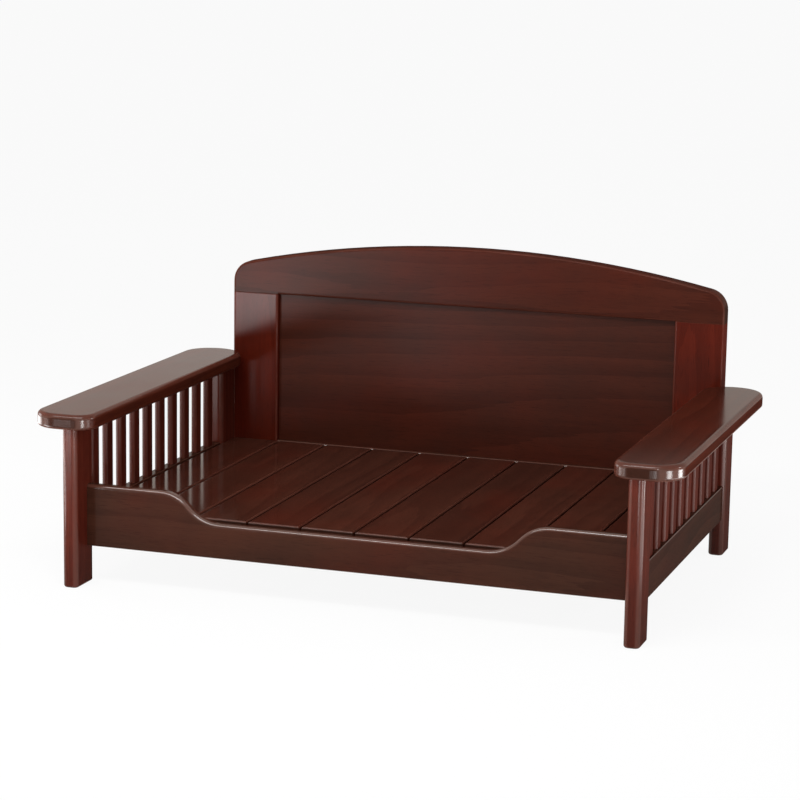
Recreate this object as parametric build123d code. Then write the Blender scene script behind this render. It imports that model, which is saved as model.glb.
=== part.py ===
from build123d import *
import os

# A wooden dog sofa bed: two slatted sides under broad arms, a front rail with a dipped
# entry, an arched back of frame and panel, and a deck of planks laid front to back.
# Millimetres, +Z up. The origin is on the floor, under the middle of the outline.
# X runs from the left side to the right side and Y from the front to the back.

# Frame and posts
frame_width = 730.0
frame_depth = 508.0
post_width = 20.0
post_depth = 44.0
post_corner_radius = 7.0
foot_radius = 3.0

# Arms
arm_width = 82.0
arm_thickness = 19.0
arm_top_height = 218.5
arm_inner_overhang = 20.0
arm_front_overhang = 6.0
arm_rear_overhang = 5.5
arm_front_outer_radius = 36.0
arm_front_inner_radius = 24.0
arm_rear_flat = 2.0
arm_top_edge_radius = 6.0
arm_bottom_edge_radius = 4.0

# Rails
rail_thickness = 14.0
rail_bottom_height = 48.0
rail_edge_radius = 1.5
side_rail_inset = 3.0
rear_rail_thickness = 16.0

# Front rail and its dipped entry
front_rail_rise = 32.0
front_rail_edge_radius = 4.5
entry_half_width = 209.0
entry_curve_width = 78.0
plank_reveal = 3.0

# Slats
slat_count = 10
slat_width = 20.0
slat_thickness = 8.0
slat_end_gap = 17.5
slat_tenon_depth = 8.0

# Deck
deck_height = 94.0
plank_count = 10
plank_thickness = 10.0
plank_gap = 3.0
plank_edge_radius = 2.2
deck_side_gap = 4.0
deck_end_gap = 1.5
cleat_width = 16.0
cleat_height = 20.0
bearer_width = 22.0
bearer_tenon_length = 6.0

# Back
back_post_overlap = 1.5
back_thickness = 25.0
panel_opening_height = 206.0
top_rail_end_height = 38.5
back_arch_rise = 40.5
back_corner_radius = 28.0
back_edge_radius = 3.0
stile_width = 66.0
panel_thickness = 8.0
panel_recess = 8.0
panel_groove_depth = 8.0
panel_edge_gap = 0.8
recess_edge_radius = 3.0
joint_groove_size = 0.8

# Tenons and their mortises
tenon_share = 0.55
post_tenon_height = 12.0
rail_tenon_length = 12.0
back_tenon_length = 20.0
fit_clearance = 0.12
mortise_spare_depth = 0.5

# Screws, bolts and threaded inserts
screw_diameter = 3.5
screw_head_diameter = 7.0
screw_head_height = 2.2
deck_screw_bite = 6.0
cleat_screw_bite = 8.0
bolt_diameter = 6.0
bolt_head_diameter = 12.0
bolt_head_height = 3.6
bolt_head_sink = 1.4
bolt_bite = 10.0
bolt_socket_width = 5.0
bolt_socket_depth = 2.0
insert_diameter = 10.0
insert_length = 12.0
hardware_clearance = 0.15
cut_overrun = 1.0

# Planes of the frame, from front to back
overall_depth = arm_front_overhang + frame_depth + back_thickness
front_y = arm_front_overhang - overall_depth / 2
rear_y = front_y + frame_depth
front_rail_rear_y = front_y + post_depth
rear_post_front_y = rear_y - post_depth
rear_rail_front_y = rear_y - rear_rail_thickness
back_rear_y = rear_y + back_thickness
middle_y = (front_rail_rear_y + rear_rail_front_y) / 2

# Planes of the frame, from the middle to the side
post_outer_x = frame_width / 2
post_inner_x = post_outer_x - post_width
side_rail_outer_x = post_outer_x - side_rail_inset
side_rail_inner_x = side_rail_outer_x - rail_thickness
side_rail_middle_x = side_rail_outer_x - rail_thickness / 2
arm_inner_x = post_inner_x - arm_inner_overhang
back_half = post_inner_x + back_post_overlap
recess_half = back_half - stile_width

# Levels
arm_bottom_height = arm_top_height - arm_thickness
plank_bottom_height = deck_height - plank_thickness
cleat_bottom_height = plank_bottom_height - cleat_height
entry_height = deck_height - plank_reveal
front_rail_top = deck_height + front_rail_rise
side_rail_height = deck_height - rail_bottom_height
rear_rail_height = plank_bottom_height - rail_bottom_height
panel_bottom_height = deck_height - panel_groove_depth
panel_top_height = deck_height + panel_opening_height
back_shoulder_height = panel_top_height + top_rail_end_height
back_height = back_shoulder_height + back_arch_rise

# Sections of the tenons
rail_tenon_thickness = rail_thickness * tenon_share
side_tenon_height = side_rail_height * tenon_share
front_tenon_height = front_rail_rise * tenon_share
rear_tenon_thickness = rear_rail_thickness * tenon_share
rear_tenon_height = rear_rail_height * tenon_share
stile_tenon_width = stile_width * tenon_share
bottom_tenon_height = (panel_bottom_height - rail_bottom_height) * tenon_share


def block(x_range, y_range, z_range):
    """Returns a box between three pairs of coordinates."""
    spans = [high - low for low, high in (x_range, y_range, z_range)]
    middles = [(high + low) / 2 for low, high in (x_range, y_range, z_range)]
    return Pos(*middles) * Box(*spans)


def around(middle, size, spare=0.0):
    """Returns the range of a size about its middle, wider by a spare on each side."""
    return (middle - size / 2 - spare, middle + size / 2 + spare)


def ordered(start, end):
    """Returns two coordinates as a range, the lower one first."""
    return (min(start, end), max(start, end))


def mirrored(solid):
    """Returns the left copy of a right piece."""
    return mirror(solid, about=Plane.YZ)


def rounded_section(width, length, radii):
    """Returns a rectangle whose corners, keyed by their X and Y sides, have own radii."""
    section = Rectangle(width, length)
    for (side, end), radius in radii.items():
        corner = Vector(side * width / 2, end * length / 2)
        nearest = section.vertices().sort_by_distance(corner)[0]
        section = fillet(nearest, radius)
    return section


def softened(solid, which, radius):
    """Returns a solid with the rim of its lowest (0) or highest (-1) face rounded."""
    return fillet(solid.faces().sort_by(Axis.Z)[which].edges(), radius)


def turned(outline, place):
    """Returns the solid turned from (radius, height) points about a place's Z axis."""
    points = [(radius, 0.0, height) for radius, height in outline]
    face = make_face(Polyline(*points, close=True))
    return place * revolve(face, Axis.Z)


# Places of what repeats
slat_span = rear_post_front_y - front_rail_rear_y
slat_pitch = (slat_span - 2 * slat_end_gap - slat_width) / (slat_count - 1)
first_slat_y = front_rail_rear_y + slat_end_gap + slat_width / 2
slat_places = [first_slat_y + n * slat_pitch for n in range(slat_count)]

deck_width = 2 * (side_rail_inner_x - deck_side_gap)
plank_pitch = (deck_width + plank_gap) / plank_count
plank_width = plank_pitch - plank_gap
first_plank_x = -deck_width / 2 + plank_width / 2
plank_places = [first_plank_x + n * plank_pitch for n in range(plank_count)]
plank_front_y = front_rail_rear_y + deck_end_gap
plank_rear_y = rear_y - deck_end_gap

front_cleat_y = front_rail_rear_y + cleat_width / 2
rear_cleat_y = rear_rail_front_y - cleat_width / 2
cleat_middle_z = plank_bottom_height - cleat_height / 2
deck_screw_shares = (-0.25, 0.25)
deck_screw_xs = [x + share * plank_width for x in plank_places for share in deck_screw_shares]
cleat_screw_xs = [plank_places[n] + plank_pitch / 2 for n in range(0, plank_count - 1, 2)]

bolt_shares = (-1.0, -1 / 3, 1 / 3, 1.0)
bolt_xs = [share * (back_half - stile_width / 2) for share in bolt_shares]
bolt_z = rail_bottom_height + rear_rail_height / 2
bolt_seat_y = back_rear_y - bolt_head_sink - bolt_head_height
bolt_length = bolt_seat_y - rear_y + bolt_bite
deck_screw_length = cleat_height + deck_screw_bite
cleat_screw_length = cleat_width + cleat_screw_bite
panel_middle_y = rear_y + panel_recess + panel_thickness / 2


# Tenons: each is also its mortise, with a spare on its sides and an extra on its length
def side_tenon(end_y, direction, spare=0.0, extra=0.0):
    """Returns the tenon of the right side rail that runs from end_y into a post."""
    return block(
        around(side_rail_middle_x, rail_tenon_thickness, spare),
        ordered(end_y, end_y + direction * (rail_tenon_length + extra)),
        around(rail_bottom_height + side_rail_height / 2, side_tenon_height, spare),
    )


def front_tenon(spare=0.0, extra=0.0):
    """Returns the front rail's right tenon, which lies above the side rail's tenon."""
    return block(
        (post_inner_x, post_inner_x + rail_tenon_length + extra),
        around(front_rail_rear_y - rail_thickness / 2, rail_tenon_thickness, spare),
        around(deck_height + front_rail_rise / 2, front_tenon_height, spare),
    )


def rear_tenon(spare=0.0, extra=0.0):
    """Returns the rear rail's right tenon."""
    return block(
        (post_inner_x, post_inner_x + rail_tenon_length + extra),
        around(rear_y - rear_rail_thickness / 2, rear_tenon_thickness, spare),
        around(rail_bottom_height + rear_rail_height / 2, rear_tenon_height, spare),
    )


def post_tenon(middle, spare=0.0, extra=0.0):
    """Returns the tenon on top of a right post whose middle lies at the given Y."""
    return block(
        around(post_outer_x - post_width / 2, post_width * tenon_share, spare),
        around(middle, post_depth * tenon_share, spare),
        (arm_bottom_height, arm_bottom_height + post_tenon_height + extra),
    )


def slat_tenon(middle, start_z, direction, spare=0.0, extra=0.0):
    """Returns the tenon at the upper or the lower end of a right slat."""
    return block(
        around(side_rail_middle_x, slat_thickness * tenon_share, spare),
        around(middle, slat_width * tenon_share, spare),
        ordered(start_z, start_z + direction * (slat_tenon_depth + extra)),
    )


def bearer_tenon(spare=0.0, extra=0.0):
    """Returns the centre bearer's right tenon."""
    return block(
        (side_rail_inner_x, side_rail_inner_x + bearer_tenon_length + extra),
        around(middle_y, bearer_width * tenon_share, spare),
        around(cleat_middle_z, cleat_height * tenon_share, spare),
    )


def stile_tenon(spare=0.0, extra=0.0):
    """Returns the tenon that rises from the right stile into the top rail."""
    return block(
        around(back_half - stile_width / 2, stile_tenon_width, spare),
        around(panel_middle_y, panel_thickness, spare),
        (panel_top_height, panel_top_height + back_tenon_length + extra),
    )


def bottom_rail_tenon(spare=0.0, extra=0.0):
    """Returns the bottom rail's right tenon into the stile."""
    return block(
        (recess_half, recess_half + back_tenon_length + extra),
        around(panel_middle_y, panel_thickness, spare),
        around((rail_bottom_height + panel_bottom_height) / 2, bottom_tenon_height, spare),
    )


def panel_space(edge_gap, face_gap):
    """Returns the panel, or its grooves where gaps are given; it stands on their floor."""
    reach = recess_half + panel_groove_depth - panel_edge_gap + edge_gap
    top = panel_top_height + panel_groove_depth - panel_edge_gap + edge_gap
    return block(
        (-reach, reach),
        around(panel_middle_y, panel_thickness, face_gap),
        (panel_bottom_height, top),
    )


# Fasteners: each is also its hole, with a spare all round
def screw(place, length, spare=0.0):
    """Returns a countersunk screw that runs up from its head at the place's origin."""
    shank = screw_diameter / 2 + spare
    head = screw_head_diameter / 2 + spare
    outline = [
        (0.0, 0.0),
        (head, 0.0),
        (shank, screw_head_height),
        (shank, length - screw_diameter),
        (0.0, length + spare),
    ]
    return turned(outline, place)


def deck_screw(x, y, spare=0.0):
    """Returns a screw that runs up through a cleat or the bearer into a plank."""
    return screw(Pos(x, y, cleat_bottom_height), deck_screw_length, spare)


def cleat_screw(x, is_front, spare=0.0):
    """Returns a screw that holds the front or the rear cleat to its rail."""
    face_y = front_rail_rear_y + cleat_width if is_front else rear_rail_front_y - cleat_width
    lean = 90 if is_front else -90
    return screw(Pos(x, face_y, cleat_middle_z) * Rot(lean, 0, 0), cleat_screw_length, spare)


def bolt_axis(x):
    """Returns the place of a bolt's seat, with +Z running forward along the bolt."""
    return Pos(x, bolt_seat_y, bolt_z) * Rot(90, 0, 0)


def bolt(x):
    """Returns a socket-head bolt that runs forward from the rear of the back."""
    outline = [
        (0.0, -bolt_head_height),
        (bolt_head_diameter / 2, -bolt_head_height),
        (bolt_head_diameter / 2, 0.0),
        (bolt_diameter / 2, 0.0),
        (bolt_diameter / 2, bolt_length),
        (0.0, bolt_length),
    ]
    socket = RegularPolygon(bolt_socket_width / 2, 6, major_radius=False)
    socket = bolt_axis(x) * Pos(0, 0, -bolt_head_height) * extrude(socket, bolt_socket_depth)
    return turned(outline, bolt_axis(x)) - socket


def bolt_hole(x):
    """Returns the counterbore and the clearance hole of a bolt."""
    rim = bolt_head_height + bolt_head_sink + cut_overrun
    shank = bolt_diameter / 2 + hardware_clearance
    head = bolt_head_diameter / 2 + hardware_clearance
    outline = [
        (0.0, -rim),
        (head, -rim),
        (head, 0.0),
        (shank, 0.0),
        (shank, bolt_length + cut_overrun),
        (0.0, bolt_length + cut_overrun),
    ]
    return turned(outline, bolt_axis(x))


def insert_body(x, spare=0.0):
    """Returns the plain body of a threaded insert, let into the rear rail's rear face."""
    spot = Pos(x, rear_y - insert_length / 2, bolt_z) * Rot(90, 0, 0)
    return spot * Cylinder(insert_diameter / 2 + spare, insert_length)


# Wooden pieces of the right side; the left side mirrors them
def right_post(is_front):
    """Returns the front or the rear post of the right side, square at its inner rear edge."""
    middle = front_y + post_depth / 2 if is_front else rear_y - post_depth / 2
    radii = {
        (-1, -1): post_corner_radius,
        (1, -1): post_corner_radius,
        (1, 1): post_corner_radius,
    }
    section = rounded_section(post_width, post_depth, radii)
    post = softened(extrude(section, arm_bottom_height), 0, foot_radius)
    post = Pos(post_outer_x - post_width / 2, middle, 0) * post
    post += post_tenon(middle)
    if is_front:
        post -= side_tenon(front_rail_rear_y, -1, fit_clearance, mortise_spare_depth)
        post -= front_tenon(fit_clearance, mortise_spare_depth)
    else:
        post -= side_tenon(rear_post_front_y, 1, fit_clearance, mortise_spare_depth)
        post -= rear_tenon(fit_clearance, mortise_spare_depth)
    return post


def right_armrest():
    """Returns the right arm: a board with rounded corners and a nearly round rear end."""
    length = arm_front_overhang + frame_depth + arm_rear_overhang
    rear_radius = (arm_width - arm_rear_flat) / 2
    radii = {
        (-1, -1): min(arm_front_inner_radius, arm_width / 2),
        (1, -1): min(arm_front_outer_radius, arm_width / 2),
        (1, 1): rear_radius,
        (-1, 1): rear_radius,
    }
    board = extrude(rounded_section(arm_width, length, radii), arm_thickness)
    board = softened(board, -1, min(arm_top_edge_radius, arm_thickness / 3))
    board = softened(board, 0, min(arm_bottom_edge_radius, arm_thickness / 3))
    middle = front_y - arm_front_overhang + length / 2
    arm = Pos(arm_inner_x + arm_width / 2, middle, arm_bottom_height) * board
    arm -= post_tenon(front_y + post_depth / 2, fit_clearance, mortise_spare_depth)
    arm -= post_tenon(rear_y - post_depth / 2, fit_clearance, mortise_spare_depth)
    for y in slat_places:
        arm -= slat_tenon(y, arm_bottom_height, 1, fit_clearance, mortise_spare_depth)
    return arm


def right_side_rail():
    """Returns the right side rail, with a mortise in its top for each slat."""
    rail = block(
        (side_rail_inner_x, side_rail_outer_x),
        (front_rail_rear_y, rear_post_front_y),
        (rail_bottom_height, deck_height),
    )
    rail = fillet(rail.edges().filter_by(Axis.Y), rail_edge_radius)
    rail += side_tenon(front_rail_rear_y, -1)
    rail += side_tenon(rear_post_front_y, 1)
    rail -= bearer_tenon(fit_clearance, mortise_spare_depth)
    for y in slat_places:
        rail -= slat_tenon(y, deck_height, -1, fit_clearance, mortise_spare_depth)
    return rail


def right_slat(y):
    """Returns a slat of the right side, with round edges and a tenon at each end."""
    section = RectangleRounded(slat_thickness, slat_width, slat_thickness / 2 - fit_clearance)
    height = arm_bottom_height - deck_height
    slat = Pos(side_rail_middle_x, y, deck_height) * extrude(section, height)
    slat += slat_tenon(y, arm_bottom_height, 1)
    slat += slat_tenon(y, deck_height, -1)
    return slat


# Rails that cross the bed
def front_rail_outline():
    """Returns the front rail's face: level ends, an S curve on each side and a level dip."""
    outer = entry_half_width + entry_curve_width / 2
    inner = entry_half_width - entry_curve_width / 2
    half_drop = (front_rail_top + entry_height) / 2
    left_fall = TangentArc((-outer, front_rail_top), (-entry_half_width, half_drop), tangent=(1, 0))
    left_foot = TangentArc((-entry_half_width, half_drop), (-inner, entry_height), tangent=left_fall % 1)
    curves = [left_fall, left_foot, mirrored(left_foot), mirrored(left_fall)]
    dip = Line((-inner, entry_height), (inner, entry_height))
    rest = Polyline(
        (outer, front_rail_top),
        (post_inner_x, front_rail_top),
        (post_inner_x, rail_bottom_height),
        (-post_inner_x, rail_bottom_height),
        (-post_inner_x, front_rail_top),
        (-outer, front_rail_top),
    )
    return make_face(Curve() + curves + [dip, rest])


def front_rail_piece():
    """Returns the dipped front rail, with soft edges and a tenon at each end."""
    rail = Pos(0, front_rail_rear_y, 0) * extrude(Plane.XZ * front_rail_outline(), rail_thickness)
    rims = [e for face in rail.faces().filter_by(Axis.Y) for e in face.edges()]
    long_edges = [e for e in rims if abs(e.center().X) < post_inner_x - cut_overrun]
    top_edges = [e for e in long_edges if e.center().Z > rail_bottom_height + cut_overrun]
    rail = fillet(top_edges, min(front_rail_edge_radius, rail_thickness / 3))
    rail = fillet(rail.edges().filter_by(Axis.X).group_by(Axis.Z)[0], rail_edge_radius)
    rail += front_tenon()
    rail += mirrored(front_tenon())
    for x in cleat_screw_xs:
        rail -= cleat_screw(x, True, hardware_clearance)
    return rail


def rear_rail_piece():
    """Returns the rear rail, which carries the planks' rear ends and the back's bolts."""
    rail = block(
        (-post_inner_x, post_inner_x),
        (rear_rail_front_y, rear_y),
        (rail_bottom_height, plank_bottom_height),
    )
    rail = fillet(rail.edges().filter_by(Axis.X).group_by(Axis.Z)[0], rail_edge_radius)
    rail += rear_tenon()
    rail += mirrored(rear_tenon())
    for x in bolt_xs:
        rail -= insert_body(x, hardware_clearance)
        rail -= bolt_hole(x)
    for x in cleat_screw_xs:
        rail -= cleat_screw(x, False, hardware_clearance)
    return rail


def cleat_piece(is_front):
    """Returns the front or the rear cleat, which the planks are screwed to from below."""
    row_y = front_cleat_y if is_front else rear_cleat_y
    cleat = block(
        (-post_inner_x, post_inner_x),
        around(row_y, cleat_width),
        (cleat_bottom_height, plank_bottom_height),
    )
    for x in cleat_screw_xs:
        cleat -= cleat_screw(x, is_front, hardware_clearance)
    for x in deck_screw_xs:
        cleat -= deck_screw(x, row_y, hardware_clearance)
    return cleat


def centre_bearer_piece():
    """Returns the bearer under the middle of the deck, let into both side rails."""
    bearer = block(
        (-side_rail_inner_x, side_rail_inner_x),
        around(middle_y, bearer_width),
        (cleat_bottom_height, plank_bottom_height),
    )
    bearer += bearer_tenon()
    bearer += mirrored(bearer_tenon())
    for x in deck_screw_xs:
        bearer -= deck_screw(x, middle_y, hardware_clearance)
    return bearer


def deck_plank(middle_x):
    """Returns one plank, with soft upper edges and blind screw holes underneath."""
    plank = block(
        around(middle_x, plank_width),
        (plank_front_y, plank_rear_y),
        (plank_bottom_height, deck_height),
    )
    plank = softened(plank, -1, min(plank_edge_radius, plank_thickness / 2))
    for share in deck_screw_shares:
        for y in (front_cleat_y, middle_y, rear_cleat_y):
            plank -= deck_screw(middle_x + share * plank_width, y, hardware_clearance)
    return plank


# The back: two stiles, an arched top rail, a bottom rail and a panel held in grooves
def recess_round(corner_y, corner_z, direction):
    """Returns the sliver that rounds a rail's front edge along the recess."""
    middle = corner_z + direction * recess_edge_radius
    sliver = block(
        (-recess_half, recess_half),
        (corner_y - cut_overrun, corner_y + recess_edge_radius),
        ordered(corner_z - direction * cut_overrun, middle),
    )
    spot = Pos(0, corner_y + recess_edge_radius, middle) * Rot(0, 90, 0)
    return sliver - spot * Cylinder(recess_edge_radius, 2 * recess_half + cut_overrun)


def stile_round():
    """Returns the sliver that rounds the right stile's front edge along the recess."""
    sliver = block(
        (recess_half - cut_overrun, recess_half + recess_edge_radius),
        (rear_y - cut_overrun, rear_y + recess_edge_radius),
        (deck_height, panel_top_height),
    )
    spot = Pos(recess_half + recess_edge_radius, rear_y + recess_edge_radius, deck_height)
    return sliver - spot * Cylinder(recess_edge_radius, 2 * panel_top_height)


def joint_groove():
    """Returns the fine groove that marks the joint of the right stile and the top rail."""
    spot = Pos(back_half - stile_width / 2, rear_y, panel_top_height) * Rot(45, 0, 0)
    return spot * Box(stile_width, joint_groove_size, joint_groove_size)


def back_top_rail_piece():
    """Returns the arched top rail of the back."""
    arch = ThreePointArc(
        (-back_half, back_shoulder_height),
        (0, back_height),
        (back_half, back_shoulder_height),
    )
    rest = Polyline(
        (back_half, back_shoulder_height),
        (back_half, panel_top_height),
        (-back_half, panel_top_height),
        (-back_half, back_shoulder_height),
    )
    face = make_face(Curve() + [arch, rest])
    corner_radius = min(back_corner_radius, top_rail_end_height)
    face = fillet(face.vertices().group_by(Axis.Y)[-1], corner_radius)
    rail = Pos(0, back_rear_y, 0) * extrude(Plane.XZ * face, back_thickness)
    rims = [e for side in rail.faces().filter_by(Axis.Y) for e in side.edges()]
    outer_rims = [e for e in rims if e.center().Z > panel_top_height + cut_overrun]
    rail = fillet(outer_rims, min(back_edge_radius, back_thickness / 3))
    rail -= recess_round(rear_y, panel_top_height, 1)
    rail -= panel_space(panel_edge_gap, fit_clearance)
    for side_copy in (stile_tenon(fit_clearance, mortise_spare_depth), joint_groove()):
        rail -= side_copy
        rail -= mirrored(side_copy)
    return rail


def back_right_stile_piece():
    """Returns the right stile of the back."""
    stile = block(
        (recess_half, back_half),
        (rear_y, back_rear_y),
        (rail_bottom_height, panel_top_height),
    )
    outer_edges = stile.edges().filter_by(Axis.Z).group_by(Axis.X)[-1]
    stile = fillet(outer_edges, min(back_edge_radius, back_thickness / 3))
    stile += stile_tenon()
    stile -= stile_round()
    stile -= joint_groove()
    stile -= panel_space(panel_edge_gap, fit_clearance)
    stile -= bottom_rail_tenon(fit_clearance, mortise_spare_depth)
    stile -= bolt_hole(bolt_xs[-1])
    return stile


def back_bottom_rail_piece():
    """Returns the bottom rail of the back, level with the deck."""
    rail = block(
        (-recess_half, recess_half),
        (rear_y, back_rear_y),
        (rail_bottom_height, deck_height),
    )
    rail -= recess_round(rear_y, deck_height, -1)
    rail -= panel_space(panel_edge_gap, fit_clearance)
    rail += bottom_rail_tenon()
    rail += mirrored(bottom_rail_tenon())
    for x in bolt_xs[1:-1]:
        rail -= bolt_hole(x)
    return rail


def collect():
    """Returns every piece under its name."""
    right = {
        "front_{}_post": right_post(True),
        "rear_{}_post": right_post(False),
        "{}_armrest": right_armrest(),
        "{}_side_rail": right_side_rail(),
        "back_{}_stile": back_right_stile_piece(),
    }
    for n, y in enumerate(slat_places, start=1):
        right["{}_slat_" + f"{n:02d}"] = right_slat(y)
    pieces = {name.format("right"): piece for name, piece in right.items()}
    pieces |= {name.format("left"): mirrored(piece) for name, piece in right.items()}
    pieces["front_rail"] = front_rail_piece()
    pieces["rear_rail"] = rear_rail_piece()
    pieces["front_cleat"] = cleat_piece(True)
    pieces["rear_cleat"] = cleat_piece(False)
    pieces["centre_bearer"] = centre_bearer_piece()
    for n, x in enumerate(plank_places, start=1):
        pieces[f"deck_plank_{n:02d}"] = deck_plank(x)
    pieces["back_top_rail"] = back_top_rail_piece()
    pieces["back_bottom_rail"] = back_bottom_rail_piece()
    pieces["back_panel"] = panel_space(0.0, 0.0)
    rows = (front_cleat_y, middle_y, rear_cleat_y)
    pieces["deck_screws"] = Compound([deck_screw(x, y) for x in deck_screw_xs for y in rows])
    cleat_screws = [cleat_screw(x, is_front) for x in cleat_screw_xs for is_front in (True, False)]
    pieces["cleat_screws"] = Compound(cleat_screws)
    pieces["back_bolts"] = Compound([bolt(x) for x in bolt_xs])
    pieces["back_bolt_inserts"] = Compound([insert_body(x) - bolt_hole(x) for x in bolt_xs])
    return pieces


os.makedirs("parts", exist_ok=True)
for name, piece in collect().items():
    export_step(piece, f"parts/{name}.step")
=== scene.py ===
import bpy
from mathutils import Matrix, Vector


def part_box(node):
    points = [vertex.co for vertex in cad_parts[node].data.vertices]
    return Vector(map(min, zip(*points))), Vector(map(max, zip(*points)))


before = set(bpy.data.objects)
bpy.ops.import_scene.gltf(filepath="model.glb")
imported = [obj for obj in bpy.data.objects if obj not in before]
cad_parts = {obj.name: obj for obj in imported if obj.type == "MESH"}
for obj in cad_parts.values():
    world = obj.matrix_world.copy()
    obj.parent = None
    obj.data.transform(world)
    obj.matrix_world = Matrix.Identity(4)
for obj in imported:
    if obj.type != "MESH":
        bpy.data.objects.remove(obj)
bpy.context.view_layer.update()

import math
import random
from collections import namedtuple

import bmesh
import bpy
from mathutils import Matrix, Vector

# Camera, in metres, millimetres and degrees: the photograph's own standpoint
CAMERA_PLACE = (1.0146, -3.0758, 0.8472)
CAMERA_BEARING = 18.55
CAMERA_PITCH = 11.02
CAMERA_ROLL = 0.94
CAMERA_LENS = 116.96
CAMERA_SENSOR = 36.0
CAMERA_REACH = (0.1, 100.0)

# Studio: its colours, half the floor's width in metres, the floor's glow and the surround's light
WHITE = (1.0, 1.0, 1.0, 1.0)
WARM_WHITE = (1.0, 0.92, 0.83, 1.0)
PALE_GREY = (0.80, 0.80, 0.80, 1.0)
FLOOR_HALF_WIDTH = 30.0
FLOOR_GLOW_SHARE = 0.92
SURROUND_LIGHT = 0.45

# Soft lights: place, what each faces and its size, in metres, and its power in watts
SOFT_LIGHTS = {
    "strip_light": ((-0.4, -0.95, 1.35), (-0.4, 0.0, 0.15), (1.6, 0.2), 15.0),
    "top_light": ((0.3, -1.6, 2.6), (0.0, 0.0, 0.15), (1.6, 1.6), 24.0),
    "left_light": ((-1.50, 0.10, 0.35), (-0.35, 0.0, 0.15), (0.5, 0.4), 4.0),
    "right_front_light": ((0.86, -1.79, 0.80), (0.36, -0.2, 0.2), (0.16, 0.16), 3.5),
    "right_rear_light": ((1.70, 0.30, 0.70), (0.40, -0.2, 0.2), (0.16, 0.16), 3.5),
    "rear_light": ((-1.50, 3.20, 0.70), (-0.4, 0.2, 0.22), (1.6, 0.14), 0.6),
}

# Lights on the floor, which upright faces mirror: place and size in metres, turn in degrees, watts
FLOOR_LIGHT_HEIGHT = 0.01
FLOOR_LIGHTS = {
    "back_patch": ((-1.08, -1.68), (0.26, 1.00), -21.8, 36.0),
    "top_rail_patch": ((-0.88, -1.98), (0.60, 0.50), -21.8, 9.0),
    "panel_patch": ((-0.74, -1.26), (0.46, 0.80), -21.8, 8.0),
    "left_strip_patch": ((-0.85, -0.55), (0.50, 0.40), 0, 7.0),
    "right_strip_patch": ((0.86, -0.18), (0.46, 0.72), 0, 4.0),
    "front_spot_patch": ((1.22, -0.68), (0.34, 0.28), 0, 7.0),
    "inner_spot_patch": ((0.42, -1.06), (0.26, 0.30), 0, 8.0),
    "right_spot_patch": ((1.25, 0.10), (0.32, 0.32), 0, 7.5),
    "left_spot_patch": ((-1.26, 0.10), (0.60, 0.56), 0, 7.5),
}

# Stains of each kind of board, light and dark
BROWN_LIGHT = (0.064, 0.0142, 0.0075)
BROWN_DARK = (0.028, 0.0064, 0.0036)
ARM_LIGHT = (0.074, 0.0150, 0.0078)
ARM_DARK = (0.034, 0.0070, 0.0038)
DECK_LIGHT = (0.066, 0.0200, 0.0120)
DECK_DARK = (0.031, 0.0096, 0.0062)
RAIL_LIGHT = (0.058, 0.0205, 0.0118)
RAIL_DARK = (0.030, 0.0106, 0.0063)
STILE_LIGHT = (0.102, 0.0115, 0.0050)
STILE_DARK = (0.050, 0.0050, 0.0022)
POST_LIGHT = (0.102, 0.0175, 0.0100)
POST_DARK = (0.052, 0.0080, 0.0048)
PLAIN_LIGHT = (0.085, 0.0230, 0.0120)
PLAIN_DARK = (0.045, 0.0120, 0.0065)

# Stains that vary every board
RED_STAIN = (0.070, 0.0100, 0.0050, 1.0)
BROWN_STAIN = (0.026, 0.0085, 0.0055, 1.0)
PORE_STAIN = (0.010, 0.0030, 0.0020, 1.0)
END_STAIN = (0.022, 0.0095, 0.0062, 1.0)
# Lighter stain for rounded edges: partly rubbed wear, partly a painted highlight
WORN_AND_HIGHLIGHT_STAIN = (0.150, 0.052, 0.036, 1.0)

# Boards: grain, place from the tree's heart in metres, stains, lacquer by face, softness of its gloss
Board = namedtuple("Board", "grain heart light dark upright top edge corner softness")
BOARDS = {
    "deck_plank": Board("y", (0.0, 0.0, 0.075), DECK_LIGHT, DECK_DARK, 0.12, 0.50, 0.35, 0.35, 0.11),
    "armrest": Board("y", (0.02, 0.0, 0.11), ARM_LIGHT, ARM_DARK, 0.05, 0.45, 0.35, 0.70, 0.17),
    "side_rail": Board("y", (0.09, 0.0, 0.0), RAIL_LIGHT, RAIL_DARK, 0.14, 0.30, 0.40, 0.40, 0.16),
    "post": Board("z", (0.02, 0.07, 0.0), POST_LIGHT, POST_DARK, 0.15, 0.30, 0.50, 0.45, 0.20),
    "slat": Board("z", (0.05, 0.03, 0.0), POST_LIGHT, POST_DARK, 0.18, 0.30, 0.30, 0.30, 0.28),
    "stile": Board("z", (0.01, 0.10, 0.0), STILE_LIGHT, STILE_DARK, 0.10, 0.10, 0.15, 0.10, 0.17),
    "back_panel": Board("x", (0.0, 0.45, 0.10), BROWN_LIGHT, BROWN_DARK, 0.13, 0.20, 0.40, 0.40, 0.30),
    "back_top_rail": Board("x", (0.0, 0.12, 0.02), BROWN_LIGHT, BROWN_DARK, 0.08, 0.03, 0.06, 0.10, 0.24),
    "cleat": Board("x", (0.0, 0.05, 0.05), PLAIN_LIGHT, PLAIN_DARK, 0.05, 0.10, 0.10, 0.10, 0.25),
    "bearer": Board("x", (0.0, 0.05, 0.05), PLAIN_LIGHT, PLAIN_DARK, 0.05, 0.10, 0.10, 0.10, 0.25),
    "rail": Board("x", (0.0, 0.10, 0.03), RAIL_LIGHT, RAIL_DARK, 0.13, 0.35, 1.00, 0.50, 0.12),
}

# Draws for each board: seed, heart in metres, tilt in radians, pattern in metres, shade of tone
BOARD_SEED = 7
HEART_SPREAD = 0.02
TILT_SPREAD = 0.02
PATTERN_SPREAD = 40
SHADE_SPREAD = 0.08

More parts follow.
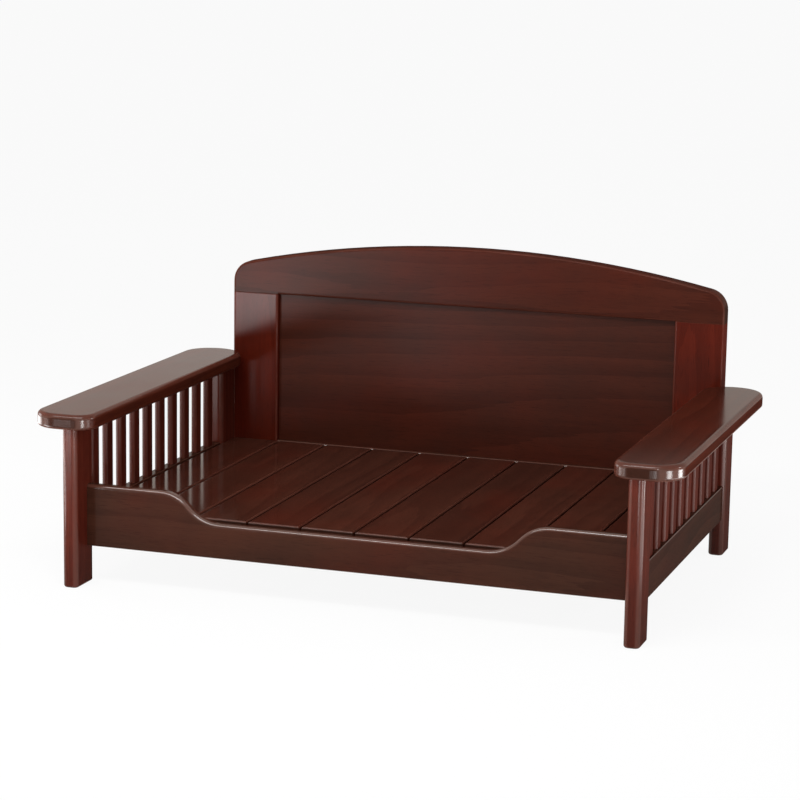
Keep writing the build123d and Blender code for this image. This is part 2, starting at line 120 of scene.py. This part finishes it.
# Patterns in the grain: about how often each repeats in a metre, across and along a board
SWAY_RATES = (5.0, 1.6)
BAND_RATES = (26.0, 1.1)
STREAK_RATES = (230.0, 5.0)
FIBRE_RATES = (900.0, 22.0)
PORE_RATES = (1500.0, 48.0)
PATCH_RATES = (9.0, 4.0)
SMEAR_RATES = (14.0, 14.0)

# Sway of the grain in metres, and growth rings: their stretch across and along, and their wave
SWAY_WIDTH = 0.030
RING_STRETCH = (1.0, 0.05)
RINGS = {"Scale": 34.0, "Distortion": 2.2, "Detail": 3.0, "Detail Scale": 1.4, "Detail Roughness": 0.6}

# Share of each pattern in a board's tone, and the span of tones from dark to light
BAND_SHARE = 0.46
STREAK_SHARE = 0.26
FIBRE_SHARE = 0.12
RING_SHARE = 0.16
TONE_SPAN = (0.30, 0.70)

# Where a pattern turns into a stain, and the least and most of that stain
PORE_SPAN = (0.60, 0.70)
RED_SPAN = (0.40, 0.75)
RED_SHARES = (0.0, 0.5)
BROWN_SPAN = (0.35, 0.75)
BROWN_SHARES = (0.0, 0.35)
# Where the lighter edge stain comes in, and its least and most: partly wear, partly painted highlight
WORN_AND_HIGHLIGHT_SPAN = (0.30, 0.70)
WORN_AND_HIGHLIGHT_SHARES = (0.10, 0.35)
PORE_SHARE = 0.4
END_SHARE = 0.75

# Roughness of the stained wood and what each pattern adds to it
WOOD_ROUGHNESS = 0.38
STREAK_ROUGHNESS = 0.10
SMEAR_ROUGHNESS = 0.08
PORE_ROUGHNESS = 0.10

# Relief of each pattern, and the whole relief's strength and depth in metres
STREAK_RELIEF = 0.35
FIBRE_RELIEF = 0.20
PORE_RELIEF = 0.8
RELIEF_STRENGTH = 0.12
RELIEF_DEPTH = 0.0004

# Lacquer: how even it lies, how much thinner it is on the sides, and its gloss
LACQUER_EVEN = 0.9
LACQUER_UNEVEN = 0.2
LACQUER_SIDE_LOSS = 0.6
LACQUER_IOR = 1.6

# Spans of a surface's direction over which it comes to face up, sideways or along the grain
UP_SPAN = (0.6, 0.95)
SIDE_SPAN = (0.85, 0.99)
END_SPAN = (0.6, 0.95)

# Span of a direction's largest part over which an edge turns into a flat face
FLAT_SPAN = (0.93, 0.997)

# Span of a direction's vertical part over which an upright corner turns into a level edge
LEVEL_SPAN = (0.15, 0.45)

# Steel: its nodes, its colours, and the spots and turning marks on it
STEEL_NODES = ("deck_screws", "cleat_screws", "back_bolts", "back_bolt_inserts")
STEEL_DARK = (0.36, 0.35, 0.33, 1.0)
STEEL_LIGHT = (0.58, 0.57, 0.55, 1.0)
SPOT_RATES = (420.0, 420.0)
MARK_RATES = (2600.0, 300.0)
STEEL_ROUGHNESS = 0.28
SPOT_ROUGHNESS = 0.2
MARK_STRENGTH = 0.1
MARK_DEPTH = 0.0001

# Turns that bring each direction of grain onto Y
GRAIN_TURNS = {
    "x": (0.0, 0.0, math.radians(90)),
    "y": (0.0, 0.0, 0.0),
    "z": (math.radians(-90), 0.0, 0.0),
}


class Amount:
    """A number or vector in a material's nodes, so that sums on it read as sums."""

    def __init__(self, finish, socket):
        self.finish = finish
        self.socket = socket

    def _sum(self, operation, first, second):
        return self.finish.node("ShaderNodeMath", {"operation": operation}, {0: first, 1: second})

    def __add__(self, other):
        return self._sum("ADD", self, other)

    def __radd__(self, other):
        return self._sum("ADD", other, self)

    def __sub__(self, other):
        return self._sum("SUBTRACT", self, other)

    def __rsub__(self, other):
        return self._sum("SUBTRACT", other, self)

    def __mul__(self, other):
        return self._sum("MULTIPLY", self, other)

    def __rmul__(self, other):
        return self._sum("MULTIPLY", other, self)

    def above(self, other):
        """Returns the larger of two amounts."""
        return self._sum("MAXIMUM", self, other)


class Finish:
    """A material or a world under construction."""

    def __init__(self, owner):
        self.owner = owner
        owner.use_nodes = True
        self.tree = owner.node_tree
        self.tree.nodes.clear()

    def node(self, kind, settings=None, inputs=None, output=0):
        """Adds a node: its settings first, then the values or links of its sockets."""
        node = self.tree.nodes.new(kind)
        for key, value in (settings or {}).items():
            if key == "stops":
                for element, (position, colour) in zip(node.color_ramp.elements, value):
                    element.position = position
                    element.color = (*colour, 1.0)
            else:
                setattr(node, key, value)
        for key, value in (inputs or {}).items():
            if isinstance(value, Amount):
                self.tree.links.new(value.socket, node.inputs[key])
            else:
                node.inputs[key].default_value = value
        return Amount(self, node.outputs[output])

    def stretched(self, place, rates):
        """Returns a place scaled across and along the grain, which runs along Y."""
        across, along = rates
        return self.node(
            "ShaderNodeVectorMath", {"operation": "MULTIPLY"}, {0: place, 1: (across, along, across)}
        )

    def noise(self, place, rates, detail, rough=0.5, output="Fac"):
        """Returns a noise between about 0 and 1 that repeats at its rates across and along."""
        return self.node(
            "ShaderNodeTexNoise",
            {"noise_dimensions": "3D"},
            {"Vector": self.stretched(place, rates), "Scale": 1.0, "Detail": detail, "Roughness": rough},
            output,
        )

    def between(self, value, span, shares=(0.0, 1.0)):
        """Returns a value carried from one span to another, with soft ends."""
        limits = {"From Min": span[0], "From Max": span[1], "To Min": shares[0], "To Max": shares[1]}
        return self.node(
            "ShaderNodeMapRange", {"interpolation_type": "SMOOTHSTEP"}, {"Value": value, **limits}
        )

    def blended(self, share, first, second):
        """Returns two colours blended."""
        return self.node(
            "ShaderNodeMix", {"data_type": "RGBA"}, {"Factor": share, 6: first, 7: second}, output=2
        )

    def close(self, shader, output="ShaderNodeOutputMaterial"):
        """Links the shader to the surface and returns the finished material or world."""
        out = self.tree.nodes.new(output)
        self.tree.links.new(shader.socket, out.inputs["Surface"])
        return self.owner


def facing(finish, grain):
    """Returns how far a surface faces up, is a side, an edge, an upright corner, or end grain."""
    normal = finish.node("ShaderNodeNewGeometry", output="Normal")
    sizes = finish.node("ShaderNodeVectorMath", {"operation": "ABSOLUTE"}, {0: normal})
    parts = [finish.node("ShaderNodeSeparateXYZ", inputs={0: sizes}, output=n) for n in range(3)]
    raised = finish.node("ShaderNodeSeparateXYZ", inputs={0: normal}, output=2)
    up = finish.between(raised, UP_SPAN)
    side = finish.between(parts[0], SIDE_SPAN)
    edge = 1.0 - finish.between(parts[0].above(parts[1]).above(parts[2]), FLAT_SPAN)
    corner = edge * (1.0 - finish.between(parts[2], LEVEL_SPAN))
    end_grain = finish.between(parts["xyz".index(grain)], END_SPAN)
    return up, side, edge, corner, end_grain


def stained_wood(name, board, chance):
    """Returns stained, lacquered wood with grain, rings, pores, and edges lightened as wear and painted
    highlight.
    """
    finish = Finish(bpy.data.materials.new(f"{name}_wood"))
    low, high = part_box(name)
    middle = (low + high) / 2
    start = [board.heart[i] - middle[i] + chance.uniform(-HEART_SPREAD, HEART_SPREAD) for i in range(3)]
    tilt = [chance.uniform(-TILT_SPREAD, TILT_SPREAD) for _ in range(3)]
    turn = [angle + extra for angle, extra in zip(GRAIN_TURNS[board.grain], tilt)]
    shift = chance.uniform(-PATTERN_SPREAD, PATTERN_SPREAD)
    shade = chance.uniform(-SHADE_SPREAD, SHADE_SPREAD)

    place = finish.node("ShaderNodeTexCoord", output="Object")
    centred = finish.node("ShaderNodeMapping", inputs={"Vector": place, "Location": start})
    turned = finish.node("ShaderNodeMapping", inputs={"Vector": centred, "Rotation": turn})
    sway = finish.noise(turned, SWAY_RATES, detail=1.0, output="Color")
    swayed = finish.node(
        "ShaderNodeVectorMath",
        {"operation": "MULTIPLY_ADD"},
        {0: sway, 1: (SWAY_WIDTH, 0.0, SWAY_WIDTH), 2: turned},
    )
    own = finish.node("ShaderNodeMapping", inputs={"Vector": swayed, "Location": (shift, shift, shift)})

    rings = finish.node(
        "ShaderNodeTexWave",
        {"wave_type": "RINGS", "rings_direction": "Y", "wave_profile": "SAW"},
        {"Vector": finish.stretched(swayed, RING_STRETCH), **RINGS},
        output="Fac",
    )
    bands = finish.noise(own, BAND_RATES, detail=3.0)
    streaks = finish.noise(own, STREAK_RATES, detail=6.0, rough=0.68)
    fibres = finish.noise(own, FIBRE_RATES, detail=3.0, rough=0.6)
    pores = finish.between(finish.noise(own, PORE_RATES, detail=1.0), PORE_SPAN)
    patches = finish.noise(own, PATCH_RATES, detail=3.0, rough=0.55)
    smears = finish.noise(own, SMEAR_RATES, detail=4.0, rough=0.6)
    up, side, edge, corner, end_grain = facing(finish, board.grain)

    tone = BAND_SHARE * bands + STREAK_SHARE * streaks + FIBRE_SHARE * fibres + RING_SHARE * rings + shade
    stain = finish.node(
        "ShaderNodeValToRGB",
        {"stops": list(zip(TONE_SPAN, (board.dark, board.light)))},
        {"Fac": tone},
    )
    reddened = finish.blended(finish.between(patches, RED_SPAN, RED_SHARES), stain, RED_STAIN)
    deepened = finish.blended(finish.between(smears, BROWN_SPAN, BROWN_SHARES), reddened, BROWN_STAIN)
    pored = finish.blended(pores * PORE_SHARE, deepened, PORE_STAIN)
    soaked = finish.blended(end_grain * END_SHARE, pored, END_STAIN)
    # Rounded edges lightened: partly rubbed wear, partly a painted highlight on the edges
    worn_and_highlit = edge * finish.between(smears, WORN_AND_HIGHLIGHT_SPAN, WORN_AND_HIGHLIGHT_SHARES)
    colour = finish.blended(worn_and_highlit, soaked, WORN_AND_HIGHLIGHT_STAIN)

    roughness = (
        WOOD_ROUGHNESS + STREAK_ROUGHNESS * streaks + SMEAR_ROUGHNESS * smears + PORE_ROUGHNESS * pores
    )
    relief = STREAK_RELIEF * streaks + FIBRE_RELIEF * fibres - PORE_RELIEF * pores
    bump = finish.node(
        "ShaderNodeBump", inputs={"Strength": RELIEF_STRENGTH, "Distance": RELIEF_DEPTH, "Height": relief}
    )
    flats = (board.upright + (board.top - board.upright) * up) * (1.0 - LACQUER_SIDE_LOSS * side)
    lacquer = flats * (1.0 - edge) + board.edge * (edge - corner) + board.corner * corner
    shader = finish.node(
        "ShaderNodeBsdfPrincipled",
        inputs={
            "Base Color": colour,
            "Roughness": roughness,
            "Normal": bump,
            "Specular IOR Level": 0.0,
            "Coat Weight": lacquer * (LACQUER_EVEN + LACQUER_UNEVEN * smears),
            "Coat Roughness": board.softness,
            "Coat IOR": LACQUER_IOR,
        },
    )
    return finish.close(shader)


def plated_steel():
    """Returns zinc-plated steel with fine turning marks and dull spots."""
    finish = Finish(bpy.data.materials.new("zinc_plated_steel"))
    place = finish.node("ShaderNodeTexCoord", output="Object")
    spots = finish.noise(place, SPOT_RATES, detail=4.0)
    marks = finish.noise(place, MARK_RATES, detail=2.0)
    bump = finish.node(
        "ShaderNodeBump", inputs={"Strength": MARK_STRENGTH, "Distance": MARK_DEPTH, "Height": marks}
    )
    shader = finish.node(
        "ShaderNodeBsdfPrincipled",
        inputs={
            "Base Color": finish.blended(spots, STEEL_DARK, STEEL_LIGHT),
            "Roughness": STEEL_ROUGHNESS + SPOT_ROUGHNESS * spots,
            "Metallic": 1.0,
            "Normal": bump,
        },
    )
    return finish.close(shader)


def wear(obj, material):
    """Gives an object one material."""
    obj.data.materials.clear()
    obj.data.materials.append(material)


def dress_wood():
    """Gives every wooden node its own board."""
    chance = random.Random(BOARD_SEED)
    for name in sorted(set(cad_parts) - set(STEEL_NODES)):
        board = next(BOARDS[sort] for sort in BOARDS if sort in name)
        wear(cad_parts[name], stained_wood(name, board, chance))


def dress_steel():
    """Gives the screws, bolts and inserts their plating."""
    steel = plated_steel()
    for name in STEEL_NODES:
        wear(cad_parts[name], steel)


def looks(finish):
    """Returns whether the camera sees a thing at all, and whether it does so by reflection."""
    path = "ShaderNodeLightPath"
    glossy = finish.node(path, output="Is Glossy Ray")
    reflected = glossy.above(finish.node(path, output="Is Transmission Ray"))
    return reflected.above(finish.node(path, output="Is Camera Ray")), reflected


def studio_floor():
    """Adds a plain pale floor, nearly white to the camera and warm in reflections."""
    plan = bmesh.new()
    bmesh.ops.create_grid(plan, x_segments=1, y_segments=1, size=FLOOR_HALF_WIDTH)
    mesh = bpy.data.meshes.new("studio_floor")
    plan.to_mesh(mesh)
    plan.free()
    floor = bpy.data.objects.new("studio_floor", mesh)
    bpy.context.scene.collection.objects.link(floor)
    finish = Finish(bpy.data.materials.new("pale_floor"))
    seen, reflected = looks(finish)
    colour = finish.blended(reflected, WHITE, WARM_WHITE)
    matt = finish.node("ShaderNodeBsdfDiffuse", inputs={"Color": PALE_GREY})
    glow = finish.node("ShaderNodeEmission", inputs={"Color": colour, "Strength": 1.0})
    shader = finish.node("ShaderNodeMixShader", inputs={0: seen * FLOOR_GLOW_SHARE, 1: matt, 2: glow})
    wear(floor, finish.close(shader))


def studio_world():
    """Sets a plain surround, white to the camera, warm in reflections and softer as light."""
    finish = Finish(bpy.data.worlds.new("studio"))
    seen, reflected = looks(finish)
    colour = finish.blended(reflected, WHITE, WARM_WHITE)
    strength = SURROUND_LIGHT + (1.0 - SURROUND_LIGHT) * seen
    shader = finish.node("ShaderNodeBackground", inputs={"Color": colour, "Strength": strength})
    bpy.context.scene.world = finish.close(shader, "ShaderNodeOutputWorld")


def area_light(name, size, power):
    """Adds a soft light of a width and height, and returns it for placing."""
    lamp = bpy.data.lights.new(name, "AREA")
    lamp.shape = "RECTANGLE"
    lamp.size, lamp.size_y = size
    lamp.energy = power
    light = bpy.data.objects.new(name, lamp)
    bpy.context.scene.collection.objects.link(light)
    return light


def studio_lights():
    """Sets up the lights that stand in the studio and those that lie on its floor."""
    for name, (place, aim, size, power) in SOFT_LIGHTS.items():
        light = area_light(name, size, power)
        light.location = place
        light.rotation_mode = "QUATERNION"
        light.rotation_quaternion = (Vector(aim) - Vector(place)).to_track_quat("-Z", "Y")
    for name, (place, size, turn, power) in FLOOR_LIGHTS.items():
        light = area_light(name, size, power)
        light.location = (*place, FLOOR_LIGHT_HEIGHT)
        light.rotation_euler = (math.pi, 0.0, math.radians(turn))


def photo_camera():
    """Adds the camera at the photograph's standpoint."""
    bearing, pitch, roll = (math.radians(a) for a in (CAMERA_BEARING, CAMERA_PITCH, CAMERA_ROLL))
    ahead = Vector((
        -math.sin(bearing) * math.cos(pitch),
        math.cos(bearing) * math.cos(pitch),
        -math.sin(pitch),
    ))
    level = Vector((math.cos(bearing), math.sin(bearing), 0.0))
    upright = level.cross(ahead)
    right = math.cos(roll) * level + math.sin(roll) * upright
    top = -math.sin(roll) * level + math.cos(roll) * upright
    turn = Matrix((right, top, -ahead)).transposed()
    data = bpy.data.cameras.new("photo_camera")
    data.lens = CAMERA_LENS
    data.sensor_width = CAMERA_SENSOR
    data.clip_start, data.clip_end = CAMERA_REACH
    camera = bpy.data.objects.new("photo_camera", data)
    camera.matrix_world = Matrix.Translation(CAMERA_PLACE) @ turn.to_4x4()
    bpy.context.scene.collection.objects.link(camera)
    bpy.context.scene.camera = camera


photo_camera()
studio_world()
studio_floor()
studio_lights()
dress_wood()
dress_steel()

bpy.context.scene.view_settings.view_transform = "Standard"
